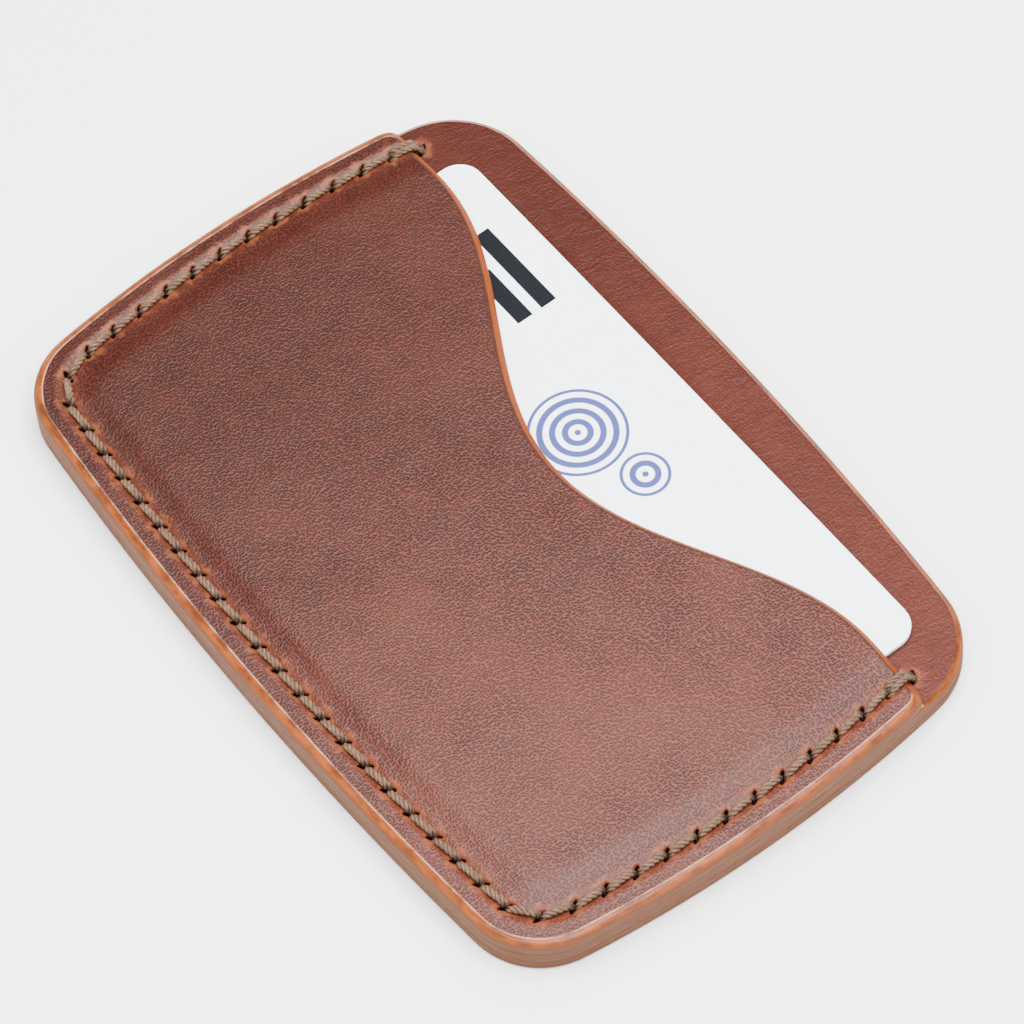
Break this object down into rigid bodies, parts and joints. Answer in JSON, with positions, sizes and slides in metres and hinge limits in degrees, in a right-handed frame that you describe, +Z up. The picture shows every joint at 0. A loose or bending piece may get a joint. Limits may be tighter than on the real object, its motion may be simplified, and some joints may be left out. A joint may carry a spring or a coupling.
{
  "type": "card wallet",
  "caption": "Slim leather card wallet: three bowed panels sewn round three sides, with a wave-cut front pocket and a sliding plastic card.",
  "frame": {"origin": "middle of the outline, on the surface that the wallet lies on", "axes": "+X along the long side, +Y towards the pocket's mouth, +Z up out of the front face"},
  "size_m": [0.1054, 0.0718, 0.0061],
  "materials": {
    "leather": "vegetable-tanned, fine pebbled grain, waxed satin face, bevelled and burnished edges",
    "cement": "dried contact cement film",
    "thread": "waxed twisted linen thread",
    "card": "white core sheet",
    "card_film": "clear gloss laminate over a plain printed face"
  },
  "bodies": {
    "wallet": {"back_panel": "leather", "back_seam_cement": "cement", "middle_panel": "leather", "pocket_seam_cement": "cement", "front_pocket": "leather", "thread": "thread"},
    "card": {"card_core": "card", "card_front_film": "card_film", "card_back_film": "card_film"}
  },
  "joints": [
    {"name": "card_slide", "type": "slide", "parent": "wallet", "child": "card", "axis": [-0.0175, 0.9998, 0], "range_m": [0, 0.063]}
  ]
}
